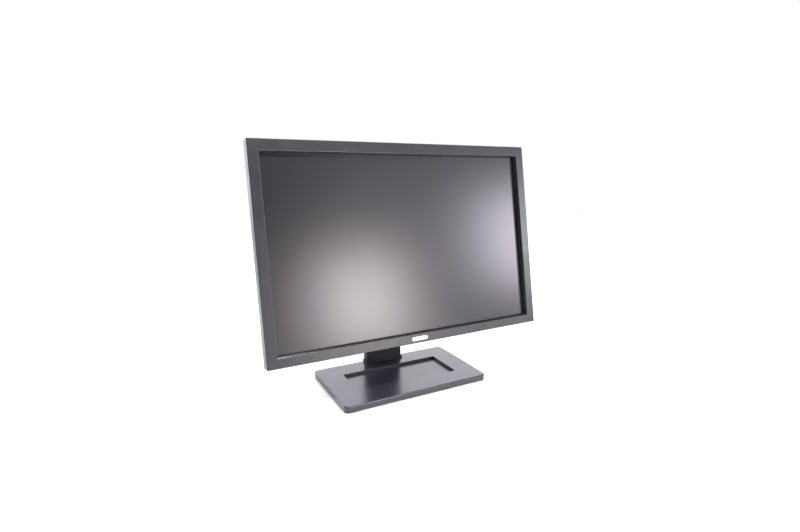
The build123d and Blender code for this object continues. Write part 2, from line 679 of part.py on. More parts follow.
# ---------------------------------------------------------------- head: connectors
def power_inlet():
    """Three-pin mains inlet, its mouth facing down."""
    mouth = CONNECTOR_Z - 4.5
    body = flat(27.4, 19.8, mouth, mouth + 24, x=INLET_X, y=CONNECTOR_Y, corner=1)
    body = body + flat(31, 19.8, CONNECTOR_Z + 1, CONNECTOR_Z + 3, x=INLET_X, y=CONNECTOR_Y)
    body = body - flat(24.4, 16.4, mouth - 1, mouth + 17, x=INLET_X, y=CONNECTOR_Y, corner=3)
    for x, y in ((-7, 2), (7, 2), (0, -2.5)):
        body = body + flat(2, 4, mouth + 2, mouth + 17, x=INLET_X + x, y=CONNECTOR_Y + y)
    return body


def jack_posts(x, spread):
    """The two threaded hexagonal posts beside a video connector."""
    posts = []
    for side in (-1, 1):
        sketch = Pos(x + side * spread, CONNECTOR_Y, CONNECTOR_Z - 5.2) * RegularPolygon(2.4, 6)
        post = extrude(sketch, 5.2)
        posts.append(post - rod_z(1.3, CONNECTOR_Z - 6, CONNECTOR_Z - 1,
                                  x=x + side * spread, y=CONNECTOR_Y))
    return posts


def connector_posts():
    """Posts for both video connectors."""
    return group(jack_posts(ANALOG_X, 12.5) + jack_posts(DIGITAL_X, 15.8))


def analog_connector():
    """Fifteen-hole analogue video connector, its mouth facing down."""
    plate = flat(30.8, CONNECTOR_DEPTH, CONNECTOR_Z, CONNECTOR_Z + PLATE_SHEET,
                 x=ANALOG_X, y=CONNECTOR_Y, corner=CONNECTOR_CORNER)
    wide, narrow, tall = 8.3, 7.2, 3.9
    corners = [(-wide, tall), (wide, tall), (narrow, -tall), (-narrow, -tall)]
    outline = make_face(Polyline(*corners, close=True))
    outline = fillet(outline.vertices(), 2.0)
    shell = extrude(Pos(ANALOG_X, CONNECTOR_Y, CONNECTOR_Z - SHELL_REACH) * outline, SHELL_REACH)
    for row in range(3):
        for n in range(5):
            x = ANALOG_X - 4.6 + 2.3 * n + (0.6 if row == 1 else 0)
            y = CONNECTOR_Y - 2 + 2 * row
            shell = shell - rod_z(0.45, CONNECTOR_Z - 6, CONNECTOR_Z - 2, x=x, y=y)
    body = flat(28, CONNECTOR_DEPTH, CONNECTOR_Z + PLATE_SHEET, CONNECTOR_Z + BODY_HEIGHT,
                x=ANALOG_X, y=CONNECTOR_Y)
    return plate + shell + body


def digital_connector():
    """Digital video connector: a metal shell around a block of contact holes."""
    plate = flat(36.6, CONNECTOR_DEPTH, CONNECTOR_Z, CONNECTOR_Z + PLATE_SHEET,
                 x=DIGITAL_X, y=CONNECTOR_Y, corner=CONNECTOR_CORNER)
    shell = flat(25.2, 9.4, CONNECTOR_Z - SHELL_REACH, CONNECTOR_Z, x=DIGITAL_X, y=CONNECTOR_Y, corner=1.6)
    shell = shell - flat(24.2, 8.4, CONNECTOR_Z - 7, CONNECTOR_Z - 0.5,
                         x=DIGITAL_X, y=CONNECTOR_Y, corner=1.2)
    block = flat(21.5, 6.2, CONNECTOR_Z - 5.2, CONNECTOR_Z, x=DIGITAL_X, y=CONNECTOR_Y, corner=0.8)
    for row in range(3):
        for n in range(8):
            x = DIGITAL_X - 5.2 + 1.9 * n
            y = CONNECTOR_Y - 1.9 + 1.9 * row
            block = block - rod_z(0.4, CONNECTOR_Z - 6, CONNECTOR_Z - 2, x=x, y=y)
    block = block - flat(4.4, 0.9, CONNECTOR_Z - 6, CONNECTOR_Z - 2, x=DIGITAL_X - 8.3, y=CONNECTOR_Y)
    body = flat(34, CONNECTOR_DEPTH, CONNECTOR_Z + PLATE_SHEET, CONNECTOR_Z + BODY_HEIGHT,
                x=DIGITAL_X, y=CONNECTOR_Y)
    return plate + shell + block + body


# ---------------------------------------------------------------- head: control keys
def key_places():
    """Each key's X and its size, the power key last."""
    menu = [(MENU_KEY_X + KEY_STEP * n, MENU_KEY_SIZE) for n in range(MENU_KEYS)]
    return menu + [(POWER_KEY_X, POWER_KEY_SIZE)]


def key(x, size):
    """A key: its cap stands out of the bezel's underside, its flange rests inside."""
    wall_low = -HEAD_HEIGHT / 2
    wall_high = wall_low + BEZEL_WALL
    cap = flat(size[0], size[1], wall_low - 0.7, wall_high + 0.1, x=x, y=KEY_Y, corner=0.9)
    cap = fillet(cap.edges().group_by(Axis.Z)[0], 0.4)
    flange = flat(size[0] + 2.4, size[1] + 2.2, wall_high + 0.1, wall_high + 0.9, x=x, y=KEY_Y)
    return cap + flange


def key_switches():
    """A small push switch behind each key."""
    low = -HEAD_HEIGHT / 2 + BEZEL_WALL + 1.5
    parts = []
    for x, _ in key_places():
        switch = flat(4.2, 3.4, low + 0.4, low + 1.4, x=x, y=KEY_Y)
        parts.append(switch + rod_z(1.0, low, low + 0.4, x=x, y=KEY_Y))
    return group(parts)


def key_board():
    """Thin circuit board along the bottom of the panel that carries the key switches."""
    low = -HEAD_HEIGHT / 2 + BEZEL_WALL + 2.9
    return flat(98, 7.6, low, low + 0.7, x=201, y=KEY_Y)


def power_light():
    """Smoked light pipe in the bottom border."""
    pipe = rod_y(LIGHT_RADIUS, -0.15, 4.5, x=LIGHT_X, z=light_height())
    return pipe + rod_y(LIGHT_RADIUS + 0.7, BEZEL_WALL, 4, x=LIGHT_X, z=light_height())


# ---------------------------------------------------------------- tilt hinge
def hinge_head_bracket():
    """The hinge's plate, which slides into the stand socket, and its two ears."""
    plate = slab(84, 60, 50.7, 53.2, z=PIVOT_RISE, corner=2)
    plate = plate - slab(26, 20, 50, 54, z=PIVOT_RISE, corner=4)
    root, tip = 53.2, PIVOT_DEPTH
    outline = make_face(Polyline((root, PIVOT_RISE - 17), (tip, PIVOT_RISE - EAR_RADIUS),
                                 (tip, PIVOT_RISE + EAR_RADIUS), (root, PIVOT_RISE + 17), close=True))
    width = HEAD_EAR[1] - HEAD_EAR[0]
    blade = extrude(Plane.YZ.offset(HEAD_EAR[0]) * outline, width)
    ear = blade + rod_x(EAR_RADIUS, HEAD_EAR[0], HEAD_EAR[1], PIVOT_DEPTH, PIVOT_RISE)
    ear = ear - rod_x(SHAFT_RADIUS + RUNNING_GAP, HEAD_EAR[0] - 1, HEAD_EAR[1] + 1,
                      PIVOT_DEPTH, PIVOT_RISE)
    for part in mirrored(ear):
        plate = plate + part
    return plate


def hinge_shaft():
    """Steel shaft through both pairs of ears."""
    return rod_x(SHAFT_RADIUS, -SHAFT_HALF, SHAFT_HALF, PIVOT_Y, PIVOT_Z)


def washer(inner, outer, left, right):
    """A flat ring round the hinge's axis."""
    ring_body = rod_x(outer, left, right, PIVOT_Y, PIVOT_Z)
    return ring_body - rod_x(inner, left - 1, right + 1, PIVOT_Y, PIVOT_Z)


def friction_washers():
    """A friction washer on each side of each head ear."""
    parts = []
    for left in (NECK_EAR[1], HEAD_EAR[1] + FACE_GAP):
        parts += mirrored(washer(SHAFT_RADIUS, 9, left, left + 0.8))
    return group(parts)


def spring_washers():
    """Two dished washers back to back at each end of the shaft."""
    start = HEAD_EAR[1] + FACE_GAP + 0.8
    parts = []
    for n in range(2):
        parts += mirrored(washer(SHAFT_RADIUS, 7.5 - 0.8 * n, start + n, start + n + 1))
    return group(parts)


def hinge_nuts():
    """Hexagonal nuts that press the washers together."""
    start = HEAD_EAR[1] + FACE_GAP + 2.8
    plane = Plane(origin=(start, PIVOT_Y, PIVOT_Z), z_dir=(1, 0, 0))
    nut = extrude(plane * RegularPolygon(7.5, 6), 4)
    nut = nut - rod_x(SHAFT_RADIUS, start - 1, start + 5, PIVOT_Y, PIVOT_Z)
    return group(mirrored(nut))


def hinge_neck_bracket():
    """Two ears on the neck's steel, joined by a cross plate."""
    ear = rod_x(EAR_RADIUS - 1, NECK_EAR[0], NECK_EAR[1])
    ear = ear + box(NECK_EAR[0], NECK_EAR[1], -5, 5, -RISER_SHORT, 0)
    ear = ear + box(NECK_EAR[0], NECK_EAR[1], RISER_HALF, 5, -52, -RISER_SHORT)
    ear = ear - rod_x(SHAFT_RADIUS, NECK_EAR[0] - 1, NECK_EAR[1] + 1)
    bracket = box(-NECK_EAR[0], NECK_EAR[0], RISER_HALF, RISER_HALF + 2.5, -52, -RISER_SHORT)
    for part in mirrored(ear):
        bracket = bracket + part
    return Location((0, PIVOT_Y, PIVOT_Z), (NECK_LEAN, 0, 0)) * bracket


# ---------------------------------------------------------------- neck
def neck_corner(offset):
    """Where the upright and the leaning part meet, at an offset back from the middle line."""
    lean = math.radians(NECK_LEAN)
    down = (NECK_Y + offset - PIVOT_Y - offset * math.cos(lean)) / math.sin(lean)
    return NECK_Y + offset, PIVOT_Z - down * math.cos(lean) + offset * math.sin(lean)


def neck_slab(front, back, half_width, bottom, short):
    """A bent slab along the neck between two offsets, ending short of the pivot."""
    lean = math.radians(NECK_LEAN)
    top_y = PIVOT_Y + short * math.sin(lean)
    top_z = PIVOT_Z - short * math.cos(lean)
    sides = []
    for offset in (front, back):
        tip = (top_y + offset * math.cos(lean), top_z + offset * math.sin(lean))
        sides.append([(NECK_Y + offset, bottom), neck_corner(offset), tip])
    outline = make_face(Polyline(*(sides[0] + sides[1][::-1]), close=True))
    body = extrude(Plane.YZ * outline, half_width, both=True)
    for offset in (front, back):
        y, z = neck_corner(offset)
        spot = Vector(0, y, z)
        edge = min(body.edges().filter_by(Axis.X), key=lambda e: (e.center() - spot).length)
        body = fillet(edge, NECK_BEND + NECK_DEPTH / 2 + offset)
    return body


def neck_riser():
    """Bent steel channel from the base plate up to the hinge, with a foot to bolt down."""
    bottom = FOOT_HEIGHT + PLATE_THICK
    riser = neck_slab(-RISER_HALF, RISER_HALF, 32, bottom, RISER_SHORT)
    for part in mirrored(Pos(31, 0, 0) * neck_slab(-4.5, 4.5, 1, bottom, 24)):
        riser = riser + part
    foot = box(-32, 32, 42, 70.75, bottom, bottom + 2.5)
    riser = riser + foot
    for x, y in stand_screw_places():
        riser = riser - rod_z(1.95, bottom - 1, bottom + 4, x=x, y=y)
    return riser


def neck_shell():
    """Outer skin of the neck, before it is split."""
    half = NECK_DEPTH / 2
    outer = neck_slab(-half, half, NECK_WIDTH / 2, BASE_HEIGHT, NECK_TOP)
    inner = neck_slab(-half + NECK_WALL, half - NECK_WALL, NECK_WIDTH / 2 - NECK_WALL,
                      BASE_HEIGHT - 1, NECK_TOP - 1)
    return outer - inner


def neck_front_cover():
    """Front skin of the neck with both its sides."""
    half = NECK_DEPTH / 2
    rear_zone = neck_slab(half - 3, half + 5, NECK_WIDTH, BASE_HEIGHT - 2, NECK_TOP - 3)
    cover = neck_shell() - rear_zone
    return fillet(neck_long_edges(cover, -half), 1.5)


def neck_long_edges(cover, offset):
    """The cover's upright outer edges at one offset from the middle line."""
    wanted = []
    for edge in cover.edges():
        middle = edge.center()
        upright = edge.length > 40 and abs(abs(middle.X) - NECK_WIDTH / 2) < 0.1
        if upright and abs(neck_offset(middle) - offset) < 1.0:
            wanted.append(edge)
    return wanted


def neck_offset(point):
    """How far back a point lies from the neck's middle line."""
    lean = math.radians(NECK_LEAN)
    if point.Z < neck_corner(0)[1]:
        return point.Y - NECK_Y
    return (point.Y - PIVOT_Y) * math.cos(lean) + (point.Z - PIVOT_Z) * math.sin(lean)


def neck_rear_cover():
    """Rear skin of the neck."""
    half = NECK_DEPTH / 2
    rear_zone = neck_slab(half - 2.9, half + 5, NECK_WIDTH, BASE_HEIGHT - 2, NECK_TOP - 3)
    cover = neck_shell() & rear_zone
    return cover - clip_pins(1.05)


def clip_place():
    """Where the cable clip sits on the back of the neck: its Y and Z."""
    lean = math.radians(NECK_LEAN)
    down = 88.0
    half = NECK_DEPTH / 2
    y = PIVOT_Y + down * math.sin(lean) + half * math.cos(lean)
    z = PIVOT_Z - down * math.cos(lean) + half * math.sin(lean)
    return y, z


def clip_pins(radius):
    """The clip's two pins into the neck's rear skin."""
    y, z = clip_place()
    pins = [rod_y(radius, -1.6, 0.5, x=x) for x in (-9, 9)]
    return Location((0, y, z), (NECK_LEAN, 0, 0)) * (pins[0] + pins[1])


def cable_clip():
    """Open plastic hook on the back of the neck for the cables."""
    y, z = clip_place()
    plate = slab(26, 12, 0.05, 2)
    loop = slab(24, 8, 2, 12) - slab(20, 10, 2, 10)
    loop = loop - slab(5, 10, 9, 13)
    clip = plate + loop
    return Location((0, y, z), (NECK_LEAN, 0, 0)) * clip + clip_pins(1.0)


def foot_collar():
    """Moulded ring round the bottom of the neck."""
    y_back = BASE_DEPTH / 2
    y_front = NECK_Y - NECK_DEPTH / 2 - 1.8
    half = NECK_WIDTH / 2 + 2
    ring_body = box(-half, half, y_front, y_back, BASE_HEIGHT, BASE_HEIGHT + 4.5)
    gap = 0.05
    hole = box(-NECK_WIDTH / 2 - gap, NECK_WIDTH / 2 + gap, NECK_Y - NECK_DEPTH / 2 - gap,
               NECK_Y + NECK_DEPTH / 2 + gap, BASE_HEIGHT - 1, BASE_HEIGHT + 6)
    return ring_body - hole


# ---------------------------------------------------------------- base
def base_cover():
    """The base's moulded top, with a sunk tray in front of the neck."""
    bottom = FOOT_HEIGHT + 0.3
    body = flat(BASE_WIDTH, BASE_DEPTH, bottom, BASE_HEIGHT, corner=BASE_CORNER)
    body = fillet(body.edges().group_by(Axis.Z)[-1], BASE_EDGE)
    cavity = flat(BASE_WIDTH - 2 * BASE_WALL, BASE_DEPTH - 2 * BASE_WALL, bottom - 1,
                  BASE_HEIGHT - BASE_WALL, corner=BASE_CORNER - BASE_WALL)
    tray_floor = BASE_HEIGHT - POCKET_DROP
    tray = flat(POCKET_WIDTH + 2 * POCKET_WALL, POCKET_DEPTH + 2 * POCKET_WALL,
                tray_floor - POCKET_WALL, BASE_HEIGHT, y=POCKET_Y)
    cavity = cavity - tray
    body = body - cavity
    body = body - flat(POCKET_WIDTH, POCKET_DEPTH, tray_floor, BASE_HEIGHT + 1, y=POCKET_Y, corner=2.5)
    body = body - box(-33, 33, 65.4, 76.2, 5, BASE_HEIGHT + 1)
    for x, y in base_screw_places():
        body = body + rod_z(3.6, FOOT_HEIGHT + PLATE_THICK + 0.05, BASE_HEIGHT - BASE_WALL, x=x, y=y)
        body = body - rod_z(1.3, FOOT_HEIGHT, BASE_HEIGHT - BASE_WALL, x=x, y=y)
    return body


def base_screw_places():
    """Screws that hold the base's cover on its steel plate."""
    return [(x, y) for x in (-112, 112) for y in (-58, 58)] + [(-118, 0), (118, 0)]


def stand_screw_places():
    """Screws that hold the neck's steel foot on the base plate."""
    return [(x, y) for x in (-22, 22) for y in (49, 62)]


def base_plate():
    """Thick steel plate that gives the base its weight."""
    bottom = FOOT_HEIGHT
    plate = flat(BASE_WIDTH - 2 * BASE_WALL - 0.4, BASE_DEPTH - 2 * BASE_WALL - 0.4,
                 bottom, bottom + PLATE_THICK, corner=BASE_CORNER - BASE_WALL)
    for x, y in stand_screw_places():
        plate = plate - rod_z(2.05, 0, bottom + 4, x=x, y=y)
        plate = plate - rod_z(4.0, 0, bottom + 1.2, x=x, y=y)
    for x, y in base_screw_places():
        plate = plate - rod_z(1.6, 0, bottom + 4, x=x, y=y)
        plate = plate - rod_z(2.9, 0, bottom + 1.1, x=x, y=y)
    return plate


def base_screws():
    """Screws from below: four into the neck's steel foot, six into the cover's bosses."""
    stand_bolt = Rot(180, 0, 0) * screw(1.9, 3.7, 3.8, 1.1)
    cover_bolt = Rot(180, 0, 0) * screw(1.25, 5.5, 2.7, 1.0)
    return group([Pos(x, y, FOOT_HEIGHT + 1.2) * stand_bolt for x, y in stand_screw_places()]
                 + [Pos(x, y, FOOT_HEIGHT + 1.1) * cover_bolt for x, y in base_screw_places()])


def rubber_feet():
    """Six round rubber pads under the base."""
    pads = []
    for x in (-118, 0, 118):
        for y in (-66, 70):
            pad = rod_z(7, 0, FOOT_HEIGHT, x=x, y=y)
            pads.append(chamfer(pad.edges().group_by(Axis.Z)[0], 0.4))
    return group(pads)


# ---------------------------------------------------------------- all sub-parts
def head_parts():
    """Every sub-part that tilts with the screen, by name, still upright."""
    parts = {
        "front_bezel": front_bezel(),
        "badge": badge(),
        "rear_cover": rear_cover(),
        "cover_screws": cover_screws(),
        "hinge_hood": hinge_hood(),
        "panel_front_frame": panel_front_frame(),
        "lcd_glass": lcd_glass(),
        "panel_mid_frame": panel_mid_frame(),
        "optical_films": optical_films(),
        "light_guide": light_guide(),
        "reflector_sheet": reflector_sheet(),
        "backlight_lamps": backlight_lamps(),
        "lamp_end_caps": lamp_end_caps(),
        "lamp_reflectors": lamp_reflectors(),
        "panel_rear_tray": panel_rear_tray(),
        "panel_driver_board": panel_driver_board(),
        "panel_side_brackets": panel_side_brackets(),
        "main_chassis": main_chassis(),
        "chassis_screws": chassis_screws(),
        "stand_socket": stand_socket(),
        "vesa_standoffs": vesa_standoffs(),
        "latch_guide": latch_guide(),
        "release_latch": release_latch(),
        "latch_spring": latch_spring(),
        "board_spacers": board_spacers(),
        "power_board": power_board(),
        "video_board": video_board(),
        "transformers": transformers(),
        "capacitors": capacitors(),
        "heat_sink": heat_sink(),
        "video_chips": video_chips(),
        "board_shield": board_shield(),
        "panel_ribbon": panel_ribbon(),
        "power_inlet": power_inlet(),
        "analog_connector": analog_connector(),
        "digital_connector": digital_connector(),
        "connector_posts": connector_posts(),
        "key_switches": key_switches(),
        "key_board": key_board(),
        "power_light": power_light(),
        "hinge_head_bracket": hinge_head_bracket(),
    }
    names = [f"menu_key_{n + 1}" for n in range(MENU_KEYS)] + ["power_key"]
    for name, (x, size) in zip(names, key_places()):
        parts[name] = key(x, size)
    return parts


def stand_parts():
    """Every sub-part that stays on the desk, by name."""
    return {
        "hinge_shaft": hinge_shaft(),
        "friction_washers": friction_washers(),
        "spring_washers": spring_washers(),
        "hinge_nuts": hinge_nuts(),
        "hinge_neck_bracket": hinge_neck_bracket(),
        "neck_riser": neck_riser(),
        "neck_front_cover": neck_front_cover(),
        "neck_rear_cover": neck_rear_cover(),
        "cable_clip": cable_clip(),
        "foot_collar": foot_collar(),
        "base_cover": base_cover(),
        "base_plate": base_plate(),
        "base_screws": base_screws(),
        "rubber_feet": rubber_feet(),
    }


def main():
    """Writes one file per sub-part."""
    os.makedirs("parts", exist_ok=True)
    for name, shape in head_parts().items():
        export_step(in_head(shape), f"parts/{name}.step")
    for name, shape in stand_parts().items():
        export_step(shape, f"parts/{name}.step")


main()
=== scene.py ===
import bmesh
import bpy
import json
import math
from mathutils import Matrix, Vector


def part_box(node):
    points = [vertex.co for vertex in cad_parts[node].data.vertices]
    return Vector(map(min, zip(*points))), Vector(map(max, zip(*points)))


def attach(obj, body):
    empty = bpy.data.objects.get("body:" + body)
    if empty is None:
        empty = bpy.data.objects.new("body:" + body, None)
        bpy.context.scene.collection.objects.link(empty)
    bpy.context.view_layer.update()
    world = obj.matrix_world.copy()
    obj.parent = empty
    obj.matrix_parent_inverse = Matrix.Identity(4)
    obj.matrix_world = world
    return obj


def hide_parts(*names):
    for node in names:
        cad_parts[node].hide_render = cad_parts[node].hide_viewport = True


# The looks of a 22-inch wide-screen desk monitor: charcoal moulded casing, a matt screen, a tilting
# neck and a flat base with a sunk tray. Metres. The head leans back, so its pieces are modelled
# upright in front of the tilt hinge and then leant back about it.

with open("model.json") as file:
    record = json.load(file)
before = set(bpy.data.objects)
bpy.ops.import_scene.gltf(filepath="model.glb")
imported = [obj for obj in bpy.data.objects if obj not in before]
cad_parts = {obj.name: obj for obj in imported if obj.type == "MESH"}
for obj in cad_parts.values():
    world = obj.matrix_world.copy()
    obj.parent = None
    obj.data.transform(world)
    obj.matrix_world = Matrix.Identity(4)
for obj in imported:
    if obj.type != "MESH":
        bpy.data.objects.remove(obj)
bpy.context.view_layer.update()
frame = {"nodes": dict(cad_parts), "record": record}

MM = 0.001
TOUCH = 0.01 * MM               # two places closer than this are the same
BEYOND = 5.0 * MM               # how far a cutter reaches past what it cuts
SHARP = math.radians(35)        # an edge that turns more than this is a sharp one
MERGED = 2e-6                   # points closer than this are one
FLAT = math.radians(0.3)        # faces that turn less than this are one flat face
FACING = 0.9                    # a face that points this much along an axis faces that way
PARALLEL = 0.99                 # an edge that runs this much along an axis is parallel to it
LEAN = math.radians(11.0)
BEHAVIOUR = frame["record"]["behaviour"]
PIVOT = Vector(next(j["pos_m"] for j in BEHAVIOUR["joints"] if j["name"] == "head_tilt"))
LEAN_BACK = Matrix.Translation(PIVOT) @ Matrix.Rotation(-LEAN, 4, "X") @ Matrix.Translation(-PIVOT)
STAND_UP = LEAN_BACK.inverted()
BODY_OF = {node: body for body, nodes in BEHAVIOUR["bodies"].items() for node in nodes}
SLOT_OF = {part["node"]: part["material_slot"] for part in frame["record"]["subparts"]}


# ---------------------------------------------------------------- workbench
def clear():
    """Nothing selected, object mode."""
    if bpy.context.object and bpy.context.object.mode != "OBJECT":
        bpy.ops.object.mode_set(mode="OBJECT")
    bpy.ops.object.select_all(action="DESELECT")


def work_on(piece):
    """Makes one piece the only selected and active one."""
    clear()
    piece.select_set(True)
    bpy.context.view_layer.objects.active = piece


def block(name, low, high):
    """A starting block between two corners."""
    clear()
    middle, size = (low + high) / 2, high - low
    bpy.ops.mesh.primitive_cube_add(size=1, location=middle, scale=size)
    piece = bpy.context.object
    piece.name = name
    piece.data.name = name
    bpy.ops.object.transform_apply(location=True, rotation=True, scale=True)
    return piece


def pick(piece, kind, test):
    """Goes into edit mode with only the faces, edges or points selected that pass the test."""
    work_on(piece)
    bpy.ops.object.mode_set(mode="EDIT")
    modes = {"faces": "FACE", "edges": "EDGE", "verts": "VERT"}
    bpy.ops.mesh.select_mode(type=modes[kind])
    bpy.ops.mesh.select_all(action="DESELECT")
    mesh = bmesh.from_edit_mesh(piece.data)
    for part in getattr(mesh, kind):
        if test(part):
            part.select_set(True)
    mesh.select_flush_mode()
    bmesh.update_edit_mesh(piece.data)


def along(edge, axis):
    """Whether an edge runs along an axis, 0, 1 or 2."""
    run = (edge.verts[1].co - edge.verts[0].co).normalized()
    return abs(run[axis]) > PARALLEL


def in_plane(edge, axis, height):
    """Whether an edge lies at one height along an axis."""
    return all(abs(vert.co[axis] - height) < TOUCH for vert in edge.verts)


def round_edges(piece, width, segments, test):
    """Rounds the edges of a piece that pass the test."""
    pick(piece, "edges", test)
    bpy.ops.mesh.bevel(offset=width, segments=segments, affect="EDGES")
    clear()


def cut(piece, cutters):
    """Cuts the cutters out of a piece and throws them away."""
    for cutter in cutters:
        work_on(piece)
        change = piece.modifiers.new("cut", "BOOLEAN")
        change.operation = "DIFFERENCE"
        change.solver = "EXACT"
        change.object = cutter
        bpy.ops.object.modifier_apply(modifier=change.name)
        bpy.data.objects.remove(cutter)


def soften(piece, width, segments=3):
    """Small rounded edges everywhere, then smooth faces between them."""
    work_on(piece)
    edge = piece.modifiers.new("edge", "BEVEL")
    edge.width = width
    edge.segments = segments
    edge.limit_method = "ANGLE"
    edge.angle_limit = SHARP
    edge.use_clamp_overlap = True
    bpy.ops.object.modifier_apply(modifier=edge.name)
    bpy.ops.object.shade_smooth_by_angle(angle=SHARP)
    flats = piece.modifiers.new("flats", "WEIGHTED_NORMAL")
    flats.keep_sharp = True
    flats.weight = 100
    bpy.ops.object.modifier_apply(modifier=flats.name)


def upright_box(node):
    """Lowest and highest corners of a head node while the head stands upright."""
    points = [STAND_UP @ v.co for v in frame["nodes"][node].data.vertices]
    low = Vector(min(p[i] for p in points) for i in range(3))
    high = Vector(max(p[i] for p in points) for i in range(3))
    return low, high


def lean(piece):
    """Leans a finished piece of the head back to its place."""
    piece.data.transform(LEAN_BACK)
    piece.data.update()
    return piece


def fit(piece, finish, slot, *nodes):
    """Gives a piece its finish, puts it on its body and lets it stand for CAD nodes."""
    piece.data.materials.clear()
    piece.data.materials.append(finish)
    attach(piece, BODY_OF[nodes[0]])
    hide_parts(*nodes)
    return piece


def trimmed(node, width):
    """A clean copy of a CAD node's skin, its flat faces merged and its edges softened."""
    piece = bpy.data.objects.new(node + "_skin", frame["nodes"][node].data.copy())
    bpy.context.scene.collection.objects.link(piece)
    work_on(piece)
    bpy.ops.object.mode_set(mode="EDIT")
    bpy.ops.mesh.select_all(action="SELECT")
    bpy.ops.mesh.remove_doubles(threshold=MERGED)
    bpy.ops.mesh.dissolve_limited(angle_limit=FLAT)
    bpy.ops.object.mode_set(mode="OBJECT")
    soften(piece, width, 2)
    return piece


# ---------------------------------------------------------------- materials
def linear(code):
    """An sRGB hex colour as linear values."""
    values = [int(code[i:i + 2], 16) / 255 for i in (1, 3, 5)]
    return [v / 12.92 if v <= 0.04045 else ((v + 0.055) / 1.055) ** 2.4 for v in values] + [1.0]


def add(owner, kind, links=(), **settings):
    """Adds a node to a material or a world. A setting is a property, or a socket by name with _ for a
    space, and links are (socket here, node there, socket there)."""
    tree = owner.node_tree
    node = tree.nodes.new("ShaderNode" + kind)
    for key, value in settings.items():
        name = key.replace("_", " ")
        if hasattr(node, key):
            setattr(node, key, value)
        else:
            node.inputs[name].default_value = value
    for here, there, output in links:
        tree.links.new(there.outputs[output], node.inputs[here])
    return node


def surface(name, roughness, metallic=0.0, **more):
    """A new material with a plain shader to build on. Returns it, its shader and its coordinates."""
    material = bpy.data.materials.new(name)
    material.use_nodes = True
    material.node_tree.nodes.clear()
    shader = add(material, "BsdfPrincipled", Roughness=roughness, Metallic=metallic, **more)
    add(material, "OutputMaterial", [("Surface", shader, "BSDF")])
    place = add(material, "TexCoord")
    return material, shader, place


def two_tone(material, shader, place, dark, light, size, detail=4.0):
    """Colour that drifts between two tones in patches of a size in millimetres."""
    patch = add(material, "TexNoise", [("Vector", place, "Object")], Scale=1 / (size * MM), Detail=detail)
    ramp = add(material, "ValToRGB", [("Fac", patch, "Fac")])
    ramp.color_ramp.elements[0].position = 0.35
    ramp.color_ramp.elements[0].color = linear(dark)
    ramp.color_ramp.elements[1].position = 0.65
    ramp.color_ramp.elements[1].color = linear(light)
    material.node_tree.links.new(ramp.outputs["Color"], shader.inputs["Base Color"])


def grain(material, shader, place, size, depth, stretch=(1, 1, 1)):
    """Relief with grains of a size and depth in millimetres."""
    shaped = add(material, "Mapping", [("Vector", place, "Object")], Scale=stretch)
    noise = add(material, "TexNoise", [("Vector", shaped, "Vector")], Scale=1 / (size * MM), Detail=3.0)
    bump = add(material, "Bump", [("Height", noise, "Fac")], Distance=depth * MM)
    material.node_tree.links.new(bump.outputs["Normal"], shader.inputs["Normal"])


def uneven_gloss(material, shader, place, low, high, size):
    """Roughness that drifts between two values in patches of a size in millimetres."""
    patch = add(material, "TexNoise", [("Vector", place, "Object")], Scale=1 / (size * MM), Detail=5.0)
    span = add(material, "MapRange", [("Value", patch, "Fac")], From_Min=0.3, From_Max=0.7,
               To_Min=low, To_Max=high)
    material.node_tree.links.new(span.outputs["Result"], shader.inputs["Roughness"])


def moulded_abs():
    """ABS moulded in a spark-eroded tool: a fine even grain that spreads every highlight, charcoal,
    with slightly shinier patches where hands and cloths have been. The real grain is 0.3 mm."""
    material, shader, place = surface("moulded_abs_charcoal", 0.4, IOR=1.48)
    two_tone(material, shader, place, "#1f1e22", "#232227", 45)
    grain(material, shader, place, 0.45, 0.012)
    uneven_gloss(material, shader, place, 0.31, 0.36, 30)
    return material


def base_abs():
    """The base's ABS has a finer grain than the casing, so it mirrors the room more at a low angle."""
    material, shader, place = surface("moulded_abs_base", 0.3, IOR=1.6)
    two_tone(material, shader, place, "#28262e", "#2d2b33", 60)
    grain(material, shader, place, 0.6, 0.004)
    uneven_gloss(material, shader, place, 0.22, 0.27, 40)
    return material


def polished_slope():
    """The same ABS where the tool was polished, round the opening: it holds a sharp highlight."""
    material, shader, place = surface("moulded_abs_polished", 0.2, IOR=1.52)
    two_tone(material, shader, place, "#1d1c20", "#211f24", 45)
    grain(material, shader, place, 0.8, 0.001)
    return material


def neck_abs_painted_shade():
    """The casing's ABS copied darker and duller for the neck: its darker colour is painted shade for the
    shadow the head casts on the neck, so it reads as one dark upright.
    """
    material, shader, place = surface("moulded_abs_neck", 0.5, IOR=1.46, Specular_IOR_Level=0.3)
    two_tone(material, shader, place, "#151317", "#19171b", 50)
    grain(material, shader, place, 0.45, 0.012)
    uneven_gloss(material, shader, place, 0.48, 0.56, 30)
    return material


def anti_glare_film():
    """Hard-coated polariser with a sandblasted top: it turns a lamp into a wide soft glow, over a
    switched-off panel that is nearly black with a cold violet cast."""
    material, shader, place = surface("anti_glare_polariser", 0.275, IOR=1.6,
                                      Specular_Tint=linear("#fefafe"))
    two_tone(material, shader, place, "#0e0e12", "#111014", 120, detail=2.0)
    grain(material, shader, place, 0.35, 0.004)
    return material


def black_matrix():
    """The inked edge of the liquid-crystal cell, under the same film: blacker than the picture area."""
    material, shader, place = surface("black_matrix_ink", 0.35, IOR=1.5)
    two_tone(material, shader, place, "#0b0b0c", "#0f0f10", 80)
    grain(material, shader, place, 0.35, 0.004)
    return material


def pressed_metal(name, dark, light, low, high, size=20, stretch=(1, 1, 1), depth=0.01):
    """Sheet or turned metal: its colour is a reflection, streaked along the way it was rolled."""
    material, shader, place = surface(name, low, 1.0)
    two_tone(material, shader, place, dark, light, size)
    grain(material, shader, place, 0.8, depth, stretch=stretch)
    uneven_gloss(material, shader, place, low, high, size)
    return material


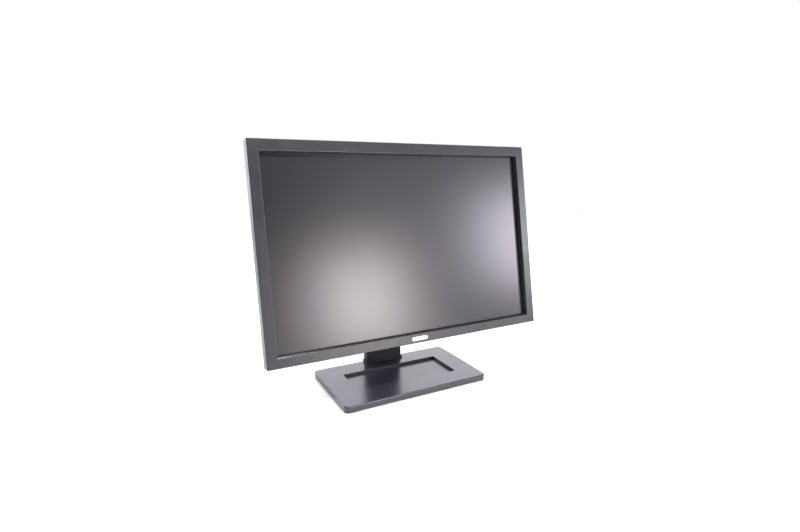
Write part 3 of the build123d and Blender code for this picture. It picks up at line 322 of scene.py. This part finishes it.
def plain_mould(name, dark, light, low, high, size=25, depth=0.02, **more):
    """A smaller plastic, rubber or film piece with its own tone, gloss and light relief."""
    material, shader, place = surface(name, low, **more)
    two_tone(material, shader, place, dark, light, size)
    grain(material, shader, place, 0.6, depth)
    uneven_gloss(material, shader, place, low, high, size)
    return material


def circuit_laminate():
    """Glass-epoxy board under green solder mask: glossy, with tracks that show as lighter lines."""
    material, shader, place = surface("circuit_laminate_green", 0.3, IOR=1.55)
    tracks = add(material, "TexBrick", [("Vector", place, "Object")], Scale=1.0, Color1=linear("#155230"),
                 Color2=linear("#17593a"), Mortar=linear("#2b7a4c"), Mortar_Size=0.0004,
                 Brick_Width=0.009, Row_Height=0.004)
    material.node_tree.links.new(tracks.outputs["Color"], shader.inputs["Base Color"])
    grain(material, shader, place, 0.8, 0.01)
    return material


FINISHES = {
    "casing": moulded_abs(),
    "screen": anti_glare_film(),
    "circuit_board": circuit_laminate(),
    # Brushed nickel-silver strip: fine streaks along its length
    "badge_metal": pressed_metal("brushed_nickel", "#b2b2b6", "#cfcfd2", 0.3, 0.42, 6, (0.05, 1, 1)),
    # Black zinc: dark with an oily sheen and paler worn edges
    "black_screw": pressed_metal("black_zinc", "#2a2a2c", "#3a3a3c", 0.35, 0.5, 3),
    # Bright zinc plate: pale with a faint straw cast
    "zinc_screw": pressed_metal("zinc_plate", "#b0b1ad", "#c6c6bf", 0.3, 0.42, 3),
    # Cold-rolled steel with rolling streaks along its length
    "panel_steel": pressed_metal("rolled_steel", "#a9abad", "#bfc1c2", 0.25, 0.4, 30, (0.05, 1, 1)),
    # Hot-dip galvanised sheet: cool grey patches of crystal, a few millimetres across
    "zinc_steel": pressed_metal("galvanised_steel", "#9fa3a5", "#c2c5c6", 0.32, 0.48, 6),
    # Tin-plated shield: bright, slightly wavy
    "tinplate": pressed_metal("tinplate", "#b9b9b5", "#cfcfca", 0.22, 0.34, 12),
    # Polished sheet that throws the lamps' light forward
    "bright_aluminium": pressed_metal("bright_aluminium", "#dcdde0", "#ebecee", 0.12, 0.2, 30),
    # Extruded aluminium, dull from its die
    "plain_aluminium": pressed_metal("mill_aluminium", "#b9babd", "#cccdd0", 0.35, 0.5, 8, (1, 0.08, 1)),
    # Nickel-plated connector shells
    "connector_metal": pressed_metal("nickel_plate", "#b5b3ae", "#cbc9c4", 0.2, 0.3, 4),
    # Hardened spring wire with a film of oil
    "spring_steel": pressed_metal("spring_wire", "#77787b", "#8d8e90", 0.28, 0.4, 4),
    # Black-oxide steel: near black with a blue cast, oily
    "hinge_steel": pressed_metal("black_oxide_steel", "#2c2d31", "#3b3c40", 0.35, 0.5, 6),
    # Sintered bronze, golden brown and open-grained
    "bronze": pressed_metal("sintered_bronze", "#8a6a3c", "#a68150", 0.35, 0.5, 3, depth=0.03),
    # Powder-coated base plate: black with a fine orange peel
    "base_steel": plain_mould("powder_coat_black", "#1b1b1c", "#222223", 0.4, 0.5, 30, 0.05),
    # Black ABS for inner mouldings
    "moulded_black": plain_mould("moulded_abs_black", "#17171a", "#1d1d20", 0.45, 0.55, 20),
    # Glass-filled nylon around contacts
    "connector_black": plain_mould("connector_nylon", "#101012", "#17171a", 0.4, 0.5, 5),
    # Epoxy chip packages with a matt laser-marked top
    "chip_black": plain_mould("chip_epoxy", "#161618", "#1e1e20", 0.5, 0.6, 4),
    # Ferrite and polyester tape, dark with a dull sheen
    "wound_core": plain_mould("ferrite_and_tape", "#2a2620", "#3a352c", 0.5, 0.65, 6),
    # Shrink sleeve with a printed-film gloss
    "capacitor_sleeve": plain_mould("shrink_sleeve_navy", "#151b33", "#1c2340", 0.22, 0.3, 8),
    # Diffuser film: milky, faintly sparkling
    "film": plain_mould("diffuser_film", "#dfe3e6", "#eceff1", 0.5, 0.6, 40, 0.01),
    # Cast acrylic, nearly clear, its printed dots make the surface slightly milky
    "clear_acrylic": plain_mould("cast_acrylic", "#dfe9ea", "#eef4f4", 0.08, 0.14, 40, 0.005,
                                 IOR=1.49, Transmission_Weight=0.7),
    # White polyester reflector
    "white_film": plain_mould("white_polyester", "#e6e6e6", "#f0f0f0", 0.45, 0.55, 40, 0.01),
    # Lamp tube: glass over white phosphor
    "lamp_glass": plain_mould("phosphor_glass", "#e6e7e2", "#f1f1ec", 0.08, 0.14, 6, 0.004),
    # Silicone end caps
    "white_rubber": plain_mould("silicone_white", "#d8d7d2", "#e2e1dc", 0.5, 0.6, 6),
    # Laminated flat cable, pale with grey conductors
    "ribbon": plain_mould("flat_cable", "#cfcfca", "#dddcd7", 0.35, 0.45, 3),
    # Smoked polycarbonate light pipe, dark while the lamp behind it is off
    "light_pipe": plain_mould("smoked_polycarbonate", "#141617", "#1b1d1e", 0.2, 0.3, 2, 0.01, IOR=1.58),
    # Neoprene foot: deep black, dull, faintly dusty
    "foot_rubber": plain_mould("neoprene_black", "#161616", "#212120", 0.7, 0.85, 5, 0.05),
}
BASE_FINISH = base_abs()
MATRIX_FINISH = black_matrix()
SLOPE_FINISH = polished_slope()
NECK_PAINTED_SHADE_FINISH = neck_abs_painted_shade()


# ---------------------------------------------------------------- front bezel
SIDE_BORDER = 16.3 * MM
TOP_BORDER = 17.4 * MM
BOTTOM_BORDER = 15.4 * MM
HEAD_CORNER = 1.2 * MM
FRONT_EDGE = 0.8 * MM           # rounding of the bezel's outer front edge
RIM_EDGE = 0.7 * MM             # rounding between the front face and the slope
SLOPE_WIDTH = 1.8 * MM
SLOPE_DEPTH = 4.0 * MM
SLOPE_START = 1.0 * MM          # the opening's cutter starts this far in front of the face
RETURN_DEPTH = 8.0 * MM
RETURN_WALL = 2.0 * MM
BEZEL_WALL = 2.3 * MM
BEZEL_SOFTNESS = 0.25 * MM
KEYS = ["menu_key_1", "menu_key_2", "menu_key_3", "menu_key_4", "power_key"]
KEY_FLANGE = 1.0 * MM           # how much wider than its hole a key is inside
KEY_HOLE_CORNER = 1.1 * MM
LIGHT_HOLE = 1.2 * MM
LEVEL_FACE = 0.97               # a face that looks straight forward turns this much to the front


def opening_corners(low, high):
    """Lowest and highest corners of the opening in the bezel's front face."""
    return (Vector((low.x + SIDE_BORDER, low.y, low.z + BOTTOM_BORDER)),
            Vector((high.x - SIDE_BORDER, low.y, high.z - TOP_BORDER)))


def opening_tool(low, high):
    """Cuts the opening: a slope at the front, then straight walls to beyond the return."""
    near, far = opening_corners(low, high)
    far.y += SLOPE_DEPTH
    tool = block("opening", near, far)
    size = far - near
    pick(tool, "faces", lambda f: f.normal.y > FACING)
    bpy.ops.transform.resize(value=(1 - 2 * SLOPE_WIDTH / size.x, 1, 1 - 2 * SLOPE_WIDTH / size.z),
                             center_override=(near + far) / 2)
    bpy.ops.mesh.extrude_region_move(TRANSFORM_OT_translate={"value": (0, RETURN_DEPTH, 0)})
    pick(tool, "faces", lambda f: f.normal.y < -FACING)
    bpy.ops.mesh.extrude_region_move(TRANSFORM_OT_translate={"value": (0, -SLOPE_START, 0)})
    clear()
    return tool


def cavity_tool(low, high):
    """Hollows the bezel from behind, and leaves the wall round the opening standing."""
    tool = block("cavity", low + Vector((BEZEL_WALL, BEZEL_WALL, BEZEL_WALL)),
                 high + Vector((-BEZEL_WALL, BEYOND, -BEZEL_WALL)))
    near, far = opening_corners(low, high)
    near -= Vector((RETURN_WALL, 0, RETURN_WALL))
    far += Vector((RETURN_WALL, RETURN_DEPTH, RETURN_WALL))
    cut(tool, [block("return_wall", near, far)])
    return tool


def key_hole(node):
    """Cuts one key's hole through the underside, its corners rounded."""
    near, far = upright_box(node)
    inset = Vector((KEY_FLANGE, KEY_FLANGE, 0))
    through = Vector((0, 0, BEYOND))
    hole = block("key_hole", near + inset - through, far - inset + through)
    round_edges(hole, KEY_HOLE_CORNER, 4, lambda e: along(e, 2))
    return hole


def light_hole():
    """Cuts the round hole for the power light."""
    near, far = upright_box("power_light")
    clear()
    bpy.ops.mesh.primitive_cylinder_add(vertices=32, radius=LIGHT_HOLE, depth=2 * BEYOND,
                                        location=((near.x + far.x) / 2, near.y, (near.z + far.z) / 2),
                                        rotation=(math.radians(90), 0, 0))
    hole = bpy.context.object
    bpy.ops.object.transform_apply(location=True, rotation=True, scale=True)
    return hole


def on_rim(edge, low, high):
    """Whether an edge is part of the opening's outline in the front face."""
    near, far = opening_corners(low, high)
    inside = [near.x - MM < v.co.x < far.x + MM and near.z - MM < v.co.z < far.z + MM for v in edge.verts]
    return in_plane(edge, 1, low.y) and all(inside)


def front_bezel():
    """The picture frame of the casing: rounded outside, sloped into the opening, hollow behind."""
    low, high = upright_box("front_bezel")
    piece = block("front_bezel_shell", low, high)
    round_edges(piece, HEAD_CORNER, 6, lambda e: along(e, 1))
    round_edges(piece, FRONT_EDGE, 5, lambda e: in_plane(e, 1, low.y))
    cut(piece, [cavity_tool(low, high), opening_tool(low, high)])
    cut(piece, [key_hole(key) for key in KEYS] + [light_hole()])
    round_edges(piece, RIM_EDGE, 6, lambda e: on_rim(e, low, high))
    soften(piece, BEZEL_SOFTNESS)
    return lean(piece)


def polish_slope(bezel):
    """Gives the slope and its rounded edge the polished finish."""
    bezel.data.materials.append(SLOPE_FINISH)
    low, high = upright_box("front_bezel")
    near, far = opening_corners(low, high)
    for face in bezel.data.polygons:
        spot, facing = STAND_UP @ face.center, STAND_UP.to_3x3() @ face.normal
        across = near.x - RIM_EDGE < spot.x < far.x + RIM_EDGE
        up = near.z - RIM_EDGE < spot.z < far.z + RIM_EDGE
        if across and up and spot.y < low.y + SLOPE_DEPTH and abs(facing.y) < LEVEL_FACE:
            face.material_index = 1


polish_slope(fit(front_bezel(), FINISHES["casing"], "casing", "front_bezel"))


# ---------------------------------------------------------------- screen
MATRIX_BORDER = 5.5 * MM
GLASS_SOFTNESS = 0.15 * MM


def screen_face():
    """The liquid-crystal cell: the picture area and, round it, the inked edge."""
    low, high = upright_box("lcd_glass")
    piece = block("screen_face", low, high)
    pick(piece, "faces", lambda f: f.normal.y < -FACING)
    bpy.ops.mesh.inset(thickness=MATRIX_BORDER, depth=0)
    clear()
    soften(piece, GLASS_SOFTNESS)
    return lean(piece)


screen = fit(screen_face(), MATRIX_FINISH, "screen", "lcd_glass")
screen.data.materials.append(FINISHES["screen"])
picture = max(screen.data.polygons, key=lambda f: f.area * (f.normal.y < 0))
picture.material_index = 1


# ---------------------------------------------------------------- base
BASE_CORNER = 8.0 * MM
BASE_EDGE = 1.6 * MM
BASE_WALL = 2.5 * MM
TRAY_LOW = Vector((-96.6, -39.8, 7.0)) * MM
TRAY_HIGH = Vector((96.6, 37.4, 13.0)) * MM
TRAY_WALL = 2.2 * MM
TRAY_CORNER = 2.5 * MM
NECK_SLOT_LOW = Vector((-33.0, 65.4, 5.0)) * MM
NECK_SLOT_HIGH = Vector((33.0, 76.2, 20.0)) * MM
BASE_SOFTNESS = 0.4 * MM


def hollow_tool(low, high):
    """Hollows the base from below, and leaves the tray's walls and floor standing."""
    tool = block("hollow", low + Vector((BASE_WALL, BASE_WALL, -BEYOND)),
                 high - Vector((BASE_WALL, BASE_WALL, BASE_WALL)))
    round_edges(tool, BASE_CORNER - BASE_WALL, 6, lambda e: along(e, 2))
    wall = Vector((TRAY_WALL, TRAY_WALL, TRAY_WALL))
    cut(tool, [block("tray_wall", TRAY_LOW - wall, TRAY_HIGH + wall)])
    return tool


def tray_tool():
    """Sinks the tray into the top, its corners rounded."""
    tool = block("tray", TRAY_LOW, TRAY_HIGH)
    round_edges(tool, TRAY_CORNER, 5, lambda e: along(e, 2))
    return tool


def base_shell():
    """The base's moulded top: rounded outside, hollow below, with the tray sunk into it."""
    low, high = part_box("base_cover")
    piece = block("base_shell", low, high)
    round_edges(piece, BASE_CORNER, 10, lambda e: along(e, 2))
    round_edges(piece, BASE_EDGE, 5, lambda e: in_plane(e, 2, high.z))
    cut(piece, [hollow_tool(low, high), tray_tool(), block("riser_hole", NECK_SLOT_LOW, NECK_SLOT_HIGH)])
    soften(piece, BASE_SOFTNESS)
    return piece


fit(base_shell(), BASE_FINISH, "casing", "base_cover")


# ---------------------------------------------------------------- skins of the other visible parts
# How wide each part's edges are softened, in millimetres
SKINS = {
    "rear_cover": 0.25, "hinge_hood": 0.4, "neck_front_cover": 0.3, "neck_rear_cover": 0.3,
    "foot_collar": 0.4, "cable_clip": 0.4, "badge": 0.2, "release_latch": 0.3, "power_light": 0.15,
    "menu_key_1": 0.2, "menu_key_2": 0.2, "menu_key_3": 0.2, "menu_key_4": 0.2, "power_key": 0.2,
    "cover_screws": 0.12, "base_screws": 0.12, "rubber_feet": 0.25, "base_plate": 0.2,
    "power_inlet": 0.25, "analog_connector": 0.12, "digital_connector": 0.12, "connector_posts": 0.15,
    "hinge_head_bracket": 0.2, "hinge_neck_bracket": 0.2, "hinge_nuts": 0.2, "hinge_shaft": 0.3,
    "stand_socket": 0.2, "vesa_standoffs": 0.15,
}
NECK_SKINS_IN_PAINTED_SHADE = ("neck_front_cover", "neck_rear_cover", "foot_collar")
for node, edge in SKINS.items():
    slot = SLOT_OF[node]
    # The neck's pieces take the darkened copy of the casing ABS: painted shade for the head's shadow on
    # the neck.
    finish = NECK_PAINTED_SHADE_FINISH if node in NECK_SKINS_IN_PAINTED_SHADE else FINISHES[slot]
    fit(trimmed(node, edge * MM), finish, slot, node)

for node, part in frame["nodes"].items():
    if not part.hide_render:
        for place in part.material_slots:
            place.material = FINISHES[SLOT_OF[node]]


# ---------------------------------------------------------------- studio
CAMERA_AT = Vector((-0.39459, -0.72873, 0.38518))
HEADING = math.radians(28.38)   # right of straight ahead
DOWN = math.radians(11.74)
ROLL = math.radians(0.53)
LENS = 21.576                   # mm
SENSOR = 36.0                   # mm wide
FLOOR_REACH = 3.0
FLOOR_THICK = 20 * MM
FLOOR_EDGE = 2 * MM
ROOM_STRENGTH = 2.7
ROOM_IN_FRONT = (0.062, 0.062, 0.0651, 1)
ROOM_BEHIND = (0.93, 0.94, 1, 1)
LAMPS = {                       # place, what it faces, size, watts and colour
    "top_box": ((0.0, -0.2, 2.2), (0.0, 0.0, 0.0), (2.4, 2.4), 60, "#ffffff"),
    "low_box": ((0.68, -1.885, 0.325), (-0.077, -0.05, 0.166), (0.44, 0.52), 15.5, "#fffaf9"),
    "right_box": ((1.68, -1.5, 0.545), (0.206, -0.033, 0.251), (0.55, 0.55), 18, "#f8f6ff"),
    "high_box": ((1.15, -1.75, 1.05), (0.0, -0.04, 0.38), (1.2, 0.6), 2.8, "#fbfaff"),
    "edge_box": ((0.105, -0.87, 1.44), (-0.235, -0.068, 0.11), (0.1, 0.1), 20, "#ffffff"),
}


def camera():
    """The viewpoint: a little to the left of the screen and above it."""
    data = bpy.data.cameras.new("viewpoint")
    data.lens = LENS
    data.sensor_width = SENSOR
    data.clip_start = 10 * MM
    eye = bpy.data.objects.new("viewpoint", data)
    level = math.cos(DOWN)
    forward = Vector((math.sin(HEADING) * level, math.cos(HEADING) * level, -math.sin(DOWN)))
    right = Vector((math.cos(HEADING), -math.sin(HEADING), 0))
    up = right.cross(forward)
    side = right * math.cos(ROLL) + up * math.sin(ROLL)
    top = up * math.cos(ROLL) - right * math.sin(ROLL)
    turn = Matrix((side, top, -forward)).transposed()
    eye.matrix_world = Matrix.Translation(CAMERA_AT) @ turn.to_4x4()
    bpy.context.scene.collection.objects.link(eye)
    bpy.context.scene.camera = eye


def lamp(name, at, towards, size, power, tint):
    """A soft box: a rectangular area light that faces a point."""
    data = bpy.data.lights.new(name, "AREA")
    data.shape = "RECTANGLE"
    data.size, data.size_y = size
    data.energy = power
    data.color = linear(tint)[:3]
    box = bpy.data.objects.new(name, data)
    box.location = at
    box.rotation_euler = (Vector(towards) - Vector(at)).to_track_quat("-Z", "Y").to_euler()
    bpy.context.scene.collection.objects.link(box)


def floor_finish():
    """Matt white laminate: pale, even, with a very faint mottle."""
    material, shader, place = surface("matt_white_laminate", 0.75, Specular_IOR_Level=0.2)
    two_tone(material, shader, place, "#f0f0f0", "#f5f5f5", 300)
    return material


def floor():
    """A wide pale sheet."""
    piece = block("floor", Vector((-FLOOR_REACH, -FLOOR_REACH, -FLOOR_THICK)),
                  Vector((FLOOR_REACH, FLOOR_REACH, 0)))
    soften(piece, FLOOR_EDGE)
    piece.data.materials.append(floor_finish())


def room():
    """A bright backdrop behind the monitor and a dimmer room in front of it. Seen directly, the
    backdrop is white all round."""
    world = bpy.data.worlds.new("studio")
    bpy.context.scene.world = world
    world.use_nodes = True
    world.node_tree.nodes.clear()
    place = add(world, "TexCoord")
    axes = add(world, "SeparateXYZ", [("Vector", place, "Generated")])
    span = add(world, "MapRange", [("Value", axes, "Y")], From_Min=-1)
    ramp = add(world, "ValToRGB", [("Fac", span, "Result")])
    ramp.color_ramp.elements[0].position = 0.5
    ramp.color_ramp.elements[0].color = ROOM_IN_FRONT
    ramp.color_ramp.elements[1].position = 0.75
    ramp.color_ramp.elements[1].color = ROOM_BEHIND
    light = add(world, "Background", [("Color", ramp, "Color")], Strength=ROOM_STRENGTH)
    paper = add(world, "Background", Color=(1, 1, 1, 1))
    path = add(world, "LightPath")
    choice = add(world, "MixShader", [(0, path, "Is Camera Ray"), (1, light, "Background"),
                                      (2, paper, "Background")])
    add(world, "OutputWorld", [("Surface", choice, "Shader")])


camera()
floor()
room()
for name, facts in LAMPS.items():
    lamp(name, *facts)
bpy.context.scene.view_settings.view_transform = "Standard"
